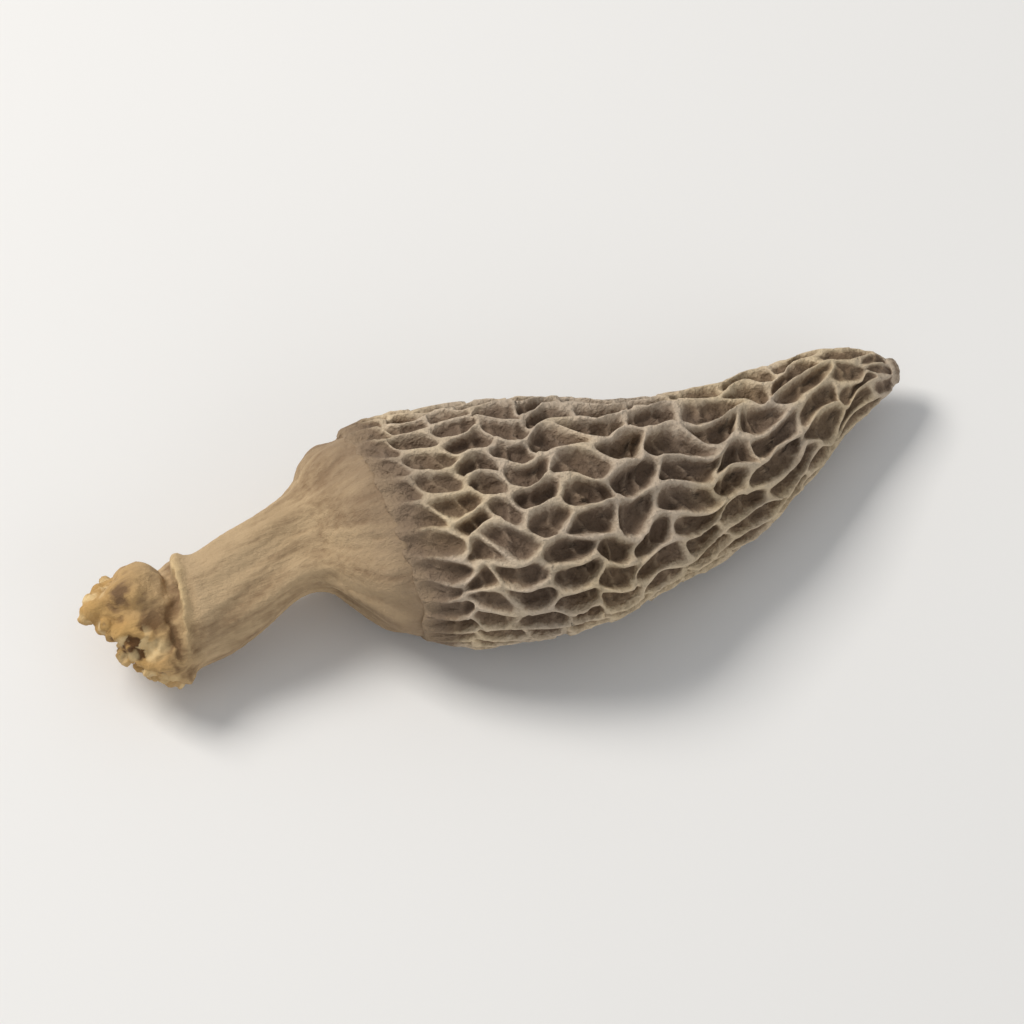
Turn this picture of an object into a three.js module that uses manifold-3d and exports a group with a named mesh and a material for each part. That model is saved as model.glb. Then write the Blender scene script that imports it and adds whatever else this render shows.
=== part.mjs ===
// A dried morel lying on its side: a conical cap with a raised net of ridges round sunken pits,
// and a pale stem that flares into the cap and ends in a knobbly root.
// Millimetres, +Z up, with the tip towards +X and the root towards -X.
// Shapes are drawn from the cap's rim at x = 0, and the whole is then moved so that the origin lies
// on the surface it rests on, under the middle of its box.
import * as THREE from "three";
import { mergeVertices } from "three/addons/utils/BufferGeometryUtils.js";
import Module from "manifold-3d";

const TURN = 2 * Math.PI;

// The cap's outline over its ridges, as [distance from the rim, size] pairs.
const CAP_LENGTH = 31.5;
const CAP_HALF_WIDTH = [
  [0, 7.2], [3, 7.5], [7, 7.6], [11, 7.2], [15, 6.1],
  [19, 5.2], [23, 4.1], [26.5, 3.0], [29.3, 2.0], [CAP_LENGTH, 1.1],
];
const CAP_HALF_HEIGHT = [[0, 5.0], [7, 5.5], [15, 4.6], [23, 3.1], [29.3, 1.7], [CAP_LENGTH, 0.95]];
const CAP_SIDEWAYS = [
  [0, 0.5], [3.5, -0.8], [7, -1.7], [12, -2.1], [20, -1.8], [24, -0.7], [28, 0.6], [CAP_LENGTH, 0.7],
];
const CAP_LIFT = [[0, 0], [8, 0], [16, 0], [24, 0.5], [CAP_LENGTH, 1.8]];
const CAP_POINT = 0.5;

// The net of ridges: a pit's width and depth along the cap, how much longer than wide a pit is,
// and the steps down a ridge's side, each as far from the crest's line and as deep a share of the
// pit. A step moves in by at least the least share for each millimetre, also in a corner.
const PIT_WIDTH = [[0, 1.45], [6, 1.6], [16, 1.65], [25, 1.35], [CAP_LENGTH, 1.0]];
const PIT_DEPTH = [[0, 0.6], [5, 0.95], [16, 1.05], [25, 0.8], [CAP_LENGTH, 0.35]];
const PIT_STRETCH = [[0, 1.7], [10, 1.85], [18, 2.3], [CAP_LENGTH, 2.5]];
const PIT_STRAY = 0.5;
const DEPTH_SPREAD = 0.4;
const RIDGE_STEPS = [{ away: 0.2, sunk: 0.12 }, { away: 0.5, sunk: 0.9 }];
const RIDGE_SEGMENT = 1.25;
const CORNER_POWER = 7;
const LEAST_STEP = 0.25;
const FIRST_ROW = 0.9;
const LAST_ROW = 0.5;

// The share of a pit's half width that its ridges may take, and how far from the rim and the tip
// the crests come free to waver.
const WALL_SHARE = 0.7;
const FREE_LENGTH = 3;

// The hollow under the cap's rim that the stem's end stands in, with a gap all round.
const SOCKET_SHARE = 0.82;
const SOCKET_DEPTH = 1.3;
const GAP = 0.35;

// The stem, as [distance from the cap's rim, size] pairs, from the root's end to the flare's edge.
// The root's end slants: each millimetre across, as far as the reach, and each millimetre up moves
// it that share of a millimetre along.
const ROOT_END = -16.0;
const FLARE_END = -GAP;
const STEM_HALF_WIDTH = [
  [ROOT_END, 2.0], [-15.7, 2.8], [-15.1, 3.4], [-14.2, 3.7], [-12.6, 3.2], [-10.2, 3.1], [-7.9, 2.95],
  [-5.4, 2.7], [-3.9, 3.2], [-2.9, 4.5], [-1.6, 5.9], [FLARE_END, 6.5],
];
const STEM_HALF_HEIGHT = [
  [ROOT_END, 1.6], [-15.7, 2.2], [-15.1, 2.7], [-14.0, 3.0], [-12, 2.6], [-8.6, 2.4], [-5.6, 2.4],
  [-3.9, 2.8], [-2.7, 3.6], [-1.4, 4.25], [FLARE_END, 4.55],
];
const STEM_SIDEWAYS = [
  [ROOT_END, 1.2], [-14.5, 0.8], [-12, 0.8], [-10.2, 0.95], [-8, 1.3], [-5, 1.8], [-3.3, 1.5],
  [-1.5, 0.8], [FLARE_END, 0.5],
];
const STEM_HEIGHT = [
  [ROOT_END, 2.9], [-14.5, 2.95], [-12, 3.4], [-8.6, 4.1], [-3.6, 4.7], [FLARE_END, 4.75],
];
const ROOT_SLANT = { across: 0.33, reach: 0.8, up: 0.52 };
const STEM_STEPS = 32;
const STEM_SIDES = 40;

// Where along the stem a form starts to show, and where it is full.
const ROOT_FADE = [-11, -16];
const NECK_FADES = [[-13, -9], [-0.5, -4]];
const FLARE_FADES = [[-4.5, -1.5], [FLARE_END, -1.5]];

// Waves on the skins, as [size, how many round, radians per millimetre along, start] for each.
const CAP_DENTS = [[0.03, 2, 0.23, 0.6], [0.025, 3, -0.31, 2.1], [0.015, 5, 0.5, 0]];
const NET_ALONG = [[0.3, 3, 0.8, 0]];
const NET_ROUND = [[0.25, 2, 1.2, 2]];
const CREST_ALONG = [[0.22, 7, -1.3, 1]];
const CREST_ROUND = [[0.22, 5, 1.7, 0]];
const STEM_FOLDS = [[0.09, 3, 0.35, 1], [0.05, 5, -0.2, 0], [0.035, 11, 0.3, 0.5]];
const ROOT_LOBES = [[0.1, 4, 0, 2.4], [0.06, 9, 1.1, 0]];
const FLARE_FOLDS = [[0.05, 8, 0, 1]];

// A fold round the stem just before the root and the crease beside it, as [middle, half length,
// rise], on the upper side only, which starts at that turn.
const COLLAR = [[-11.4, 0.7, 0.13], [-12.4, 0.5, -0.1]];
const COLLAR_TURN = -0.4;

// The root's own lumps: one large knob, and small crumbs sunk in its torn edge.
const KNOB = { x: -14.3, y: 1.9, z: 5.2, radius: 1.75, seed: 4, detail: 2 };
const CRUMBS = { count: 15, x: -14.9, stray: [1.2, 0.6], radius: 0.8, spread: 0.6, sunk: 0.22, detail: 1 };

// The dents of a lump, as [size, rate along x, y and z, and how much its seed moves it].
const LUMP_DENTS = [[0.09, 3, 4, 0, 1], [0.07, -3, 0, 5, 2]];

// How far the lowest crests are pressed flat on the surface that the morel dried on.
const PRESSED = 0.25;

// How near two places of the unrolled net count as one, and as on an edge of it.
const SAME_PLACE = 1e-5;
const ON_EDGE = 1e-7;

// Where each use of the fixed draws starts to count.
const DRAWS = { pitAlong: 1, pitRound: 1001, pitDepth: 500, crumbAlong: 30, crumbRound: 70, crumbSize: 50 };

// The value at x of a smooth curve through [x, value] pairs.
function through(pairs, x) {
  const last = pairs.length - 1;
  const here = Math.min(Math.max(x, pairs[0][0]), pairs[last][0]);
  let i = 0;
  while (i < last - 1 && here > pairs[i + 1][0]) i++;
  const slope = (j) => {
    const [before, after] = [pairs[Math.max(j - 1, 0)], pairs[Math.min(j + 1, last)]];
    return (after[1] - before[1]) / (after[0] - before[0]);
  };
  const [[x0, y0], [x1, y1]] = [pairs[i], pairs[i + 1]];
  const span = x1 - x0;
  const t = (here - x0) / span;
  return (1 + 2 * t) * (1 - t) ** 2 * y0 + t * (1 - t) ** 2 * span * slope(i)
    + t * t * (3 - 2 * t) * y1 + t * t * (t - 1) * span * slope(i + 1);
}

// A fixed draw from -0.5 to 0.5 for each whole number.
function scatter(k) {
  const x = Math.sin(k * 12.9898) * 43758.5453;
  return x - Math.floor(x) - 0.5;
}

function smoothStep(from, to, x) {
  const t = Math.min(Math.max((x - from) / (to - from), 0), 1);
  return t * t * (3 - 2 * t);
}

// The sum of a list of waves at a turn and a place along.
function waves(list, turn, x) {
  return list
    .map(([size, count, rate, start]) => size * Math.sin(count * turn + rate * x + start))
    .reduce((sum, wave) => sum + wave);
}

// How wide the cap is all round, on average, for spacing the pits.
function capRadius(u) {
  return Math.hypot(through(CAP_HALF_WIDTH, u), through(CAP_HALF_HEIGHT, u)) / Math.SQRT2;
}

// A point on the cap's middle line, u along it from the rim.
function capMiddle(u) {
  return new THREE.Vector3(
    u,
    through(CAP_SIDEWAYS, u),
    through(CAP_HALF_HEIGHT, u) - PRESSED + through(CAP_LIFT, u),
  );
}

// A point of the cap's smooth outline, u along it from the rim and turn round it.
function capOutline(u, turn) {
  const swell = 1 + waves(CAP_DENTS, turn, u) * smoothStep(0, FREE_LENGTH, u);
  const out = new THREE.Vector3(
    0,
    through(CAP_HALF_WIDTH, u) * swell * Math.cos(turn),
    through(CAP_HALF_HEIGHT, u) * swell * Math.sin(turn),
  );
  return capMiddle(u).add(out);
}

// A point sunk below the outline. What stands proud wavers and leans, as dried ridges do, but not
// at the rim or the tip.
function capPoint(u, turn, sunk) {
  const free = smoothStep(0, FREE_LENGTH, u) * smoothStep(CAP_LENGTH, CAP_LENGTH - FREE_LENGTH, u);
  const proud = 1 - Math.min(sunk / through(PIT_DEPTH, u), 1);
  const along = waves(NET_ALONG, turn, u) + proud * waves(CREST_ALONG, turn, u);
  const round = waves(NET_ROUND, turn, u) + proud * waves(CREST_ROUND, turn, u);
  const [a, t] = [u + free * along, turn + (free * round) / capRadius(u)];
  const step = 0.01;
  const inward = capOutline(a + step, t).sub(capOutline(a - step, t))
    .cross(capOutline(a, t + step).sub(capOutline(a, t - step)))
    .normalize();
  return capOutline(a, t).addScaledVector(inward, sunk);
}

// The cap unrolled: reach(u) grows so that a step of it, beside an equal turn, makes a pit of the
// stated stretch, and uAt(reach) goes back.
function unrolled(steps = 600) {
  const reaches = [0];
  for (let i = 0; i < steps; i++) {
    const u = ((i + 0.5) / steps) * CAP_LENGTH;
    reaches.push(reaches[i] + CAP_LENGTH / steps / (through(PIT_STRETCH, u) * capRadius(u)));
  }
  const reach = (u) => {
    const at = Math.min(Math.max((u / CAP_LENGTH) * steps, 0), steps);
    const i = Math.min(Math.floor(at), steps - 1);
    return reaches[i] + (at - i) * (reaches[i + 1] - reaches[i]);
  };
  const uAt = (r) => {
    let i = 0;
    while (i < steps - 1 && reaches[i + 1] < r) i++;
    return ((i + (r - reaches[i]) / (reaches[i + 1] - reaches[i])) / steps) * CAP_LENGTH;
  };
  return { reach, uAt, end: reaches[steps] };
}

// The middles of the pits, in staggered rows from rim to tip, as [reach, turn].
function pitMiddles(map) {
  const middles = [];
  let row = 0;
  for (let u = FIRST_ROW; u < CAP_LENGTH - LAST_ROW; row++) {
    const width = through(PIT_WIDTH, u);
    const rowStep = width * through(PIT_STRETCH, u) * Math.sqrt(0.75);
    const count = Math.round((TURN * capRadius(u)) / width);
    for (let j = 0; j < count; j++) {
      const k = middles.length;
      const along = u + PIT_STRAY * rowStep * scatter(k + DRAWS.pitAlong);
      const at = Math.min(Math.max(along, FIRST_ROW / 2), CAP_LENGTH - LAST_ROW / 2);
      const round = j + row / 2 + PIT_STRAY * scatter(k + DRAWS.pitRound);
      middles.push([map.reach(at), (TURN * round) / count]);
    }
    u += rowStep;
  }
  return middles;
}

// The part of a polygon that lies nearer to middle a than to middle b.
function nearerTo(polygon, a, b) {
  const away = [b[0] - a[0], b[1] - a[1]];
  const half = [(a[0] + b[0]) / 2, (a[1] + b[1]) / 2];
  const past = (p) => (p[0] - half[0]) * away[0] + (p[1] - half[1]) * away[1];
  const kept = [];
  polygon.forEach((p, i) => {
    const next = polygon[(i + 1) % polygon.length];
    const [here, there] = [past(p), past(next)];
    if (here <= 0) kept.push(p);
    if (here * there < 0) {
      const share = here / (here - there);
      kept.push([p[0] + share * (next[0] - p[0]), p[1] + share * (next[1] - p[1])]);
    }
  });
  return kept;
}

// Each pit's polygon: all that lies nearer to its middle than to any other.
function pitPolygons(map, neighbours = 40) {
  const middles = pitMiddles(map);
  return middles.map((a) => {
    const near = middles
      .flatMap(([reach, turn]) => {
        const beside = turn + TURN * Math.round((a[1] - turn) / TURN);
        return [beside - TURN, beside, beside + TURN].map((copy) => [reach, copy]);
      })
      .map((b) => ({ b, apart: Math.hypot(b[0] - a[0], b[1] - a[1]) }))
      .filter(({ apart }) => apart > ON_EDGE)
      .sort((one, other) => one.apart - other.apart)
      .slice(0, neighbours);
    const [from, to] = [a[1] - TURN / 3, a[1] + TURN / 3];
    const wide = [[0, from], [0, to], [map.end, to], [map.end, from]];
    return near.reduce((polygon, { b }) => nearerTo(polygon, a, b), wide);
  });
}

// One pit: its middle, a change from net places to millimetres round the middle, the sides of its
// polygon as directions and distances, how far its ridges may spread, and its depth.
function pitFrom(map, polygon, k) {
  const middle = [0, 1].map((axis) => polygon.reduce((sum, p) => sum + p[axis], 0) / polygon.length);
  const u = map.uAt(middle[0]);
  const radius = capRadius(u);
  const stretch = through(PIT_STRETCH, u);
  const flat = ([reach, turn]) => [
    (reach - middle[0]) * radius * stretch,
    (turn - middle[1]) * radius,
  ];
  const sides = polygon.map((p, i) => {
    const [[x0, y0], [x1, y1]] = [flat(p), flat(polygon[(i + 1) % polygon.length])];
    const length = Math.hypot(x1 - x0, y1 - y0);
    const [x, y] = [(y0 - y1) / length, (x1 - x0) / length];
    return { x, y, apart: x0 * x + y0 * y };
  });
  const nearest = Math.min(...sides.map((side) => side.apart));
  const spread = Math.min(1, (WALL_SHARE * nearest) / RIDGE_STEPS.at(-1).away);
  const depth = through(PIT_DEPTH, u) * (1 + DEPTH_SPREAD * scatter(k + DRAWS.pitDepth)) * spread;
  return { middle, u, flat, sides, spread, depth };
}

// The share of the way from a pit's middle to a point p on its polygon that stays away from all the
// sides, with the corners rounded.
function shareInside(pit, p, away) {
  const [x, y] = pit.flat(p);
  const sum = pit.sides
    .map((side) => (x * side.x + y * side.y) / (side.apart - away * pit.spread))
    .filter((share) => share > 0)
    .reduce((total, share) => total + share ** CORNER_POWER, 0);
  return Math.min(sum ** (-1 / CORNER_POWER), 1 - LEAST_STEP * away);
}

// Collects vertices and triangles. Points with the same key are one vertex.
class Skin {
  points = [];
  faces = [];
  keys = new Map();

  add(point) {
    return this.points.push(point) - 1;
  }

  shared(key, make) {
    if (!this.keys.has(key)) this.keys.set(key, this.add(make()));
    return this.keys.get(key);
  }

  // Joins two rings of as many vertices.
  band(outer, inner) {
    outer.forEach((a, i) => {
      const j = (i + 1) % outer.length;
      this.faces.push([a, outer[j], inner[j]], [a, inner[j], inner[i]]);
    });
  }

  // Joins a ring to one vertex.
  fan(ring, middle) {
    ring.forEach((a, i) => this.faces.push([a, ring[(i + 1) % ring.length], middle]));
  }

  solid(wasm) {
    const faces = this.faces.filter(([a, b, c]) => a !== b && b !== c && c !== a);
    return new wasm.Manifold(new wasm.Mesh({
      numProp: 3,
      vertProperties: new Float32Array(this.points.flatMap((p) => p.toArray())),
      triVerts: new Uint32Array(faces.flat()),
    }));
  }
}

// The points along one side of a pit's polygon, the same for the two pits that share it.
function sidePoints(map, from, to) {
  const u = map.uAt((from[0] + to[0]) / 2);
  const stretch = through(PIT_STRETCH, u);
  const length = Math.hypot((to[0] - from[0]) * stretch, to[1] - from[1]) * capRadius(u);
  const count = Math.max(1, Math.round(length / RIDGE_SEGMENT));
  return Array.from({ length: count }, (_, i) => [
    from[0] + ((to[0] - from[0]) * i) / count,
    from[1] + ((to[1] - from[1]) * i) / count,
  ]);
}

// A whole number for a turn, the same for turns that differ by full ones.
function turnKey(turn) {
  return Math.round((turn - TURN * Math.floor(turn / TURN + ON_EDGE)) / SAME_PLACE);
}

// Each pit goes from a ring of crest through rings down its walls to the middle of its floor.
// The crest's vertices are shared by the pits beside it, and those on the rim and the tip are kept.
function addPits(skin, map) {
  const rim = new Map();
  const tip = new Map();
  const crest = ([reach, turn]) => {
    const around = turnKey(turn);
    const key = `${Math.round(reach / SAME_PLACE)} ${around}`;
    const vertex = skin.shared(key, () => capPoint(map.uAt(reach), turn, 0));
    if (reach < ON_EDGE) rim.set(around, vertex);
    if (reach > map.end - ON_EDGE) tip.set(around, vertex);
    return vertex;
  };
  pitPolygons(map).forEach((polygon, k) => {
    const pit = pitFrom(map, polygon, k);
    const outer = polygon.flatMap((p, i) => sidePoints(map, p, polygon[(i + 1) % polygon.length]));
    let ring = outer.map(crest);
    for (const { away, sunk } of RIDGE_STEPS) {
      const lower = outer.map((p) => {
        const share = shareInside(pit, p, away);
        const [reach, turn] = pit.middle.map((middle, axis) => middle + (p[axis] - middle) * share);
        return skin.add(capPoint(map.uAt(reach), turn, sunk * pit.depth));
      });
      skin.band(ring, lower);
      ring = lower;
    }
    skin.fan(ring, skin.add(capPoint(pit.u, pit.middle[1], pit.depth)));
  });
  const inOrder = (ends) => [...ends].sort((one, other) => one[0] - other[0]).map(([, vertex]) => vertex);
  return { rim: inOrder(rim), tip: inOrder(tip) };
}

// The cap's underside inside its rim: a flat lip, and the hollow's wall and floor.
function closeRim(skin, ring) {
  const middle = capMiddle(0);
  const inward = (share, x) => ring.map((vertex) => {
    const point = skin.points[vertex].clone().lerp(middle, 1 - share);
    return skin.add(point.setX(x));
  });
  const lip = inward(SOCKET_SHARE, 0);
  const floor = inward(SOCKET_SHARE, SOCKET_DEPTH);
  skin.band(ring, lip);
  skin.band(lip, floor);
  skin.fan(floor, skin.add(middle.setX(SOCKET_DEPTH)));
}

function capSkin() {
  const skin = new Skin();
  const { rim, tip } = addPits(skin, unrolled());
  closeRim(skin, rim.reverse());
  skin.fan(tip, skin.add(capMiddle(CAP_LENGTH).setX(CAP_LENGTH + CAP_POINT)));
  return skin;
}

function stemMiddle(x) {
  return new THREE.Vector3(x, through(STEM_SIDEWAYS, x), through(STEM_HEIGHT, x));
}

// A point of the stem's skin, with long folds, a collar, a folded flare and a lobed, slanting root.
function stemPoint(x, turn) {
  const root = smoothStep(...ROOT_FADE, x);
  const [neck, flare] = [NECK_FADES, FLARE_FADES].map(([one, other]) => (
    smoothStep(...one, x) * smoothStep(...other, x)
  ));
  const upper = Math.max(0, Math.sin(turn - COLLAR_TURN));
  const collar = COLLAR
    .map(([middle, half, rise]) => rise * Math.exp(-(((x - middle) / half) ** 2)))
    .reduce((sum, fold) => sum + fold);
  const swell = 1 + neck * waves(STEM_FOLDS, turn, x) + root * waves(ROOT_LOBES, turn, x)
    + flare * waves(FLARE_FOLDS, turn, x) + upper * collar;
  const across = through(STEM_HALF_WIDTH, x) * swell * Math.cos(turn);
  const up = through(STEM_HALF_HEIGHT, x) * swell * Math.sin(turn);
  const slant = ROOT_SLANT.across * Math.min(across, ROOT_SLANT.reach) + ROOT_SLANT.up * up;
  return stemMiddle(x).add(new THREE.Vector3(-root * slant, across, up));
}

// The stem's end inside the hollow: the rim's own shape, smaller by the gap.
function plugPoint(x, turn) {
  const middle = capMiddle(0);
  const edge = capOutline(0, turn).sub(middle).multiplyScalar(SOCKET_SHARE);
  return edge.setLength(edge.length() - GAP).add(middle).setX(x);
}

function stemSkin() {
  const skin = new Skin();
  const ringOf = (make, x) => Array.from({ length: STEM_SIDES }, (_, j) => (
    skin.add(make(x, (TURN * j) / STEM_SIDES))
  ));
  const plugTop = SOCKET_DEPTH - GAP;
  const rings = Array.from({ length: STEM_STEPS + 1 }, (_, i) => (
    ringOf(stemPoint, ROOT_END + ((FLARE_END - ROOT_END) * i) / STEM_STEPS)
  ));
  rings.push(ringOf(plugPoint, FLARE_END), ringOf(plugPoint, plugTop));
  skin.fan([...rings[0]].reverse(), skin.add(stemMiddle(ROOT_END)));
  rings.slice(1).forEach((ring, i) => skin.band(rings[i], ring));
  skin.fan(rings.at(-1), skin.add(capMiddle(0).setX(plugTop)));
  return skin;
}

// A lump of the root: a ball with a few dents.
function lump(wasm, middle, { radius, seed, detail }) {
  const ball = new THREE.IcosahedronGeometry(radius, detail).deleteAttribute("normal").deleteAttribute("uv");
  const at = ball.getAttribute("position");
  for (let i = 0; i < at.count; i++) {
    const p = new THREE.Vector3().fromBufferAttribute(at, i);
    const [x, y, z] = p.clone().divideScalar(radius).toArray();
    const dents = LUMP_DENTS
      .map(([size, alongX, alongY, alongZ, moved]) => (
        size * Math.sin(alongX * x + alongY * y + alongZ * z + moved * seed)
      ))
      .reduce((sum, dent) => sum + dent);
    p.multiplyScalar(1 + dents).add(middle);
    at.setXYZ(i, p.x, p.y, p.z);
  }
  const merged = mergeVertices(ball, SAME_PLACE * 10);
  return new wasm.Manifold(new wasm.Mesh({
    numProp: 3,
    vertProperties: merged.getAttribute("position").array,
    triVerts: new Uint32Array(merged.index.array),
  }));
}

// The crumbs round the root's torn edge, each sunk in its skin.
function crumbs(wasm) {
  const { count, x, stray, radius, spread, sunk, detail } = CRUMBS;
  return Array.from({ length: count }, (_, k) => {
    const along = x + stray[0] * scatter(k + DRAWS.crumbAlong);
    const turn = (TURN * (k + stray[1] * scatter(k + DRAWS.crumbRound))) / count;
    const middle = stemPoint(along, turn).lerp(stemMiddle(along), sunk);
    const size = radius * (1 + spread * scatter(k + DRAWS.crumbSize));
    return lump(wasm, middle, { radius: size, seed: k, detail });
  });
}

function stemSolid(wasm) {
  const knob = lump(wasm, new THREE.Vector3(KNOB.x, KNOB.y, KNOB.z), KNOB);
  return [knob, ...crumbs(wasm)].reduce((all, one) => all.add(one), stemSkin().solid(wasm));
}

// A solid cut flat at the surface that the morel lies on, as a named mesh.
function pressedMesh(name, solid, material) {
  const cut = solid.trimByPlane([0, 0, 1], 0).getMesh();
  const geometry = new THREE.BufferGeometry()
    .setAttribute("position", new THREE.BufferAttribute(new Float32Array(cut.vertProperties), 3))
    .setIndex(new THREE.BufferAttribute(new Uint32Array(cut.triVerts), 1));
  geometry.computeVertexNormals();
  const mesh = new THREE.Mesh(geometry, material);
  mesh.name = name;
  return mesh;
}

const wasm = await Module();
wasm.setup();

const brown = new THREE.MeshStandardMaterial({ color: 0x6f5a46, roughness: 0.9, metalness: 0 });
const tan = new THREE.MeshStandardMaterial({ color: 0xb0905f, roughness: 0.85, metalness: 0 });

const morel = new THREE.Group();
morel.add(pressedMesh("cap", capSkin().solid(wasm), brown));
morel.add(pressedMesh("stem", stemSolid(wasm), tan));

const box = new THREE.Box3().setFromObject(morel, true);
const centre = box.getCenter(new THREE.Vector3());
morel.position.set(-centre.x, -centre.y, -box.min.z);

export default morel;
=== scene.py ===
"""A dried morel lying on its side, dressed for a studio picture.

The cap is a net of raised ridges round sunken pits, laid out on the unrolled cap and wrapped round
its outline. The stem is a wrinkled tube that flares into the cap and ends in a torn, knobbly root.
Both are drawn in millimetres from the cap's rim at x = 0, with the tip towards +X, and then moved to
where the frame has them. The stage is a pale floor, soft light and a camera.
"""

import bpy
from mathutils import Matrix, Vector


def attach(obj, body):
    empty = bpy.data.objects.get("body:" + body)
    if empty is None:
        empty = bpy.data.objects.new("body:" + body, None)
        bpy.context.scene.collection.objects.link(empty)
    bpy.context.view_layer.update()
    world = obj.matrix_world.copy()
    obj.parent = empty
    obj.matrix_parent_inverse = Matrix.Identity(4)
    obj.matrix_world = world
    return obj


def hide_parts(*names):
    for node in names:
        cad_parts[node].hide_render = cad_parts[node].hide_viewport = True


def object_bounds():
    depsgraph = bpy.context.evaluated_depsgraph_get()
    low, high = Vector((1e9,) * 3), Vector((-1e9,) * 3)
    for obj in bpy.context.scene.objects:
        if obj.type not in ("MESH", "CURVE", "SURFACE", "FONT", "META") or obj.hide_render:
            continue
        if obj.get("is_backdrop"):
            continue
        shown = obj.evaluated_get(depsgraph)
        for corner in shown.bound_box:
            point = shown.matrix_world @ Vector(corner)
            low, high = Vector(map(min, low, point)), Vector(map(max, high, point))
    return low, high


bl_info = {
    "name": "Dried Morel",
    "version": (1, 0, 0),
    "blender": (4, 5, 0),
    "location": "3D View > Sidebar > Morel",
    "description": "Builds a dried morel lying on a pale floor, with its light and camera",
    "category": "Add Mesh",
}

import math

import bmesh
import bpy
import numpy as np
from bpy.props import FloatProperty, FloatVectorProperty, PointerProperty
from mathutils import Vector, noise
from mathutils.kdtree import KDTree

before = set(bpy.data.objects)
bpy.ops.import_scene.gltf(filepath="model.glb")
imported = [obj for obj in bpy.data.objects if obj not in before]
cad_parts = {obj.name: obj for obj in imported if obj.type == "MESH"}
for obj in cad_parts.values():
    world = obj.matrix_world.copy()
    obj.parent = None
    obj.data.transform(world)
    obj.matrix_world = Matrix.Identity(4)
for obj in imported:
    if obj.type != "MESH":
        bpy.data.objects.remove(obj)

MM = 0.001
TURN = 2 * math.pi

# The cap's outline over its ridges, in millimetres, as (distance from the rim, size) pairs.
CAP_LENGTH = 31.5
CAP_HALF_WIDTH = [
    (0, 7.2), (3, 7.5), (7, 7.6), (11, 7.2), (15, 6.1),
    (19, 5.2), (23, 4.1), (26.5, 3.0), (29.3, 2.0), (CAP_LENGTH, 1.1),
]
CAP_HALF_HEIGHT = [(0, 5.0), (7, 5.5), (15, 4.6), (23, 3.1), (29.3, 1.7), (CAP_LENGTH, 0.95)]
CAP_SIDEWAYS = [
    (0, 0.5), (3.5, -0.8), (7, -1.7), (12, -2.1), (20, -1.8), (24, -0.7), (28, 0.6), (CAP_LENGTH, 0.7),
]
CAP_LIFT = [(0, 0), (8, 0), (16, 0), (24, 0.5), (CAP_LENGTH, 1.8)]
CAP_POINT = 0.5
PRESSED = 0.25

# The layout of the pits, the same as in the frame's cap.
PIT_WIDTH = [(0, 1.45), (6, 1.6), (16, 1.65), (25, 1.35), (CAP_LENGTH, 1.0)]
PIT_DEPTH = [(0, 0.6), (5, 0.95), (16, 1.05), (25, 0.8), (CAP_LENGTH, 0.35)]
PIT_STRETCH = [(0, 1.7), (10, 1.85), (18, 2.3), (CAP_LENGTH, 2.5)]
PIT_STRAY = 0.5
DEPTH_SPREAD = 0.4
FIRST_ROW = 0.9
LAST_ROW = 0.5
ROW_SHARE = math.sqrt(0.75)
NEIGHBOURS = 40
POLYGON_REACH = TURN / 3
WALL_SHARE = 0.7
WALL_END = 0.5
CORNER_POWER = 7
LEAST_STEP = 0.25
FREE_LENGTH = 3

# The ridges' fine shape: how far the rings of vertices lie from a crest's line, and how far apart
# the vertices are along it.
RING_PLACES = (0.04, 0.08, 0.13, 0.18, 0.24, 0.31, 0.4, 0.52)
FLOOR_SHARES = (0.75, 0.5, 0.25)
CREST_SEGMENT = 0.26
WALL_POWER = 2.2

# How far the cap's hem may lap over the stem, how far up the cap that shows, and how much of the
# step down to the stem's skin it is tucked in by.
HEM_LAP = 0.3
HEM_LENGTH = 1.6
HEM_TUCK = 0.8

# Where along the cap the pits open out and grow dark, their painted shade included, and where their rough
# skin starts.
PITS_OPEN = (-0.3, 2.2)
PITS_DARK = (0, 2.2)
ROUGH_FROM = (0, 1.2)
LEAST_DARK = 0.4

# The tip's rounding: how far the cap is tucked in there and over what length, how far the last of
# it is worn back and how rough it is, the rings of its round point, and how pale that is.
TIP_TUCK = 0.2
TIP_LENGTH = 3.0
TIP_WEAR = 0.35
TIP_WEAR_LENGTH = 1.0
TIP_ROUGHNESS = 0.16
TIP_ANGLES = (0.3, 0.6, 0.9, 1.2)
TIP_HEIGHT = 0.7

# How far below the outline a crest lies, in shares of the pits' depth there: where it sags most
# for running round the cap, and everywhere by wear.
MEAN_SAG = 0.8
MEAN_WEAR = 0.12

# The low ribs that cross the floors of the longer pits: how far apart, how thick, how high as a share of
# the pit's depth, how bent and how often, how strayed, and how much paler than the floor, as they rise out
# of its dark tone and painted shade.
RIB_STEP = 1.35
RIB_WIDTH = 0.17
RIB_RISE = 0.3
RIB_BEND = 0.16
RIB_BENDS = 3
RIB_STRAY = 0.5
RIB_PALE = 0.45

# Grains on the cap, as (strength, size of its bumps in millimetres, seed) for each, the creases in
# its floors as one such row, and how much of its grains a floor sways by.
RIDGE_WIDTH_GRAINS = [(0.3, 1.3, 9), (0.2, 0.5, 10)]
SAG_GRAINS = [(0.7, 2.5, 1)]
WEAR_GRAINS = [(0.13, 1.4, 2), (0.06, 0.5, 11)]
RIB_GRAINS = [(0.7, 1.1, 12)]
ALONG_GRAINS = [(0.3, 1.5, 3)]
ROUND_GRAINS = [(0.34, 1.7, 5)]
FINE_ALONG_GRAINS = [(0.08, 0.55, 4)]
FINE_ROUND_GRAINS = [(0.08, 0.55, 6)]
HEM_GRAINS = [(1.0, 1.1, 31)]
TIP_GRAINS = [(1.0, 0.9, 32)]
TIP_ACROSS_GRAINS = [(1.0, 0.55, 34)]
TIP_UP_GRAINS = [(1.0, 0.55, 35)]
TIP_TONES = [(0.35, 0.5, 33)]
FLOOR_GRAINS = [(0.045, 0.33, 8)]
FLOOR_CREASES = (0.14, 0.75, 7)
LEAST_SWAY = 0.35

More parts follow.
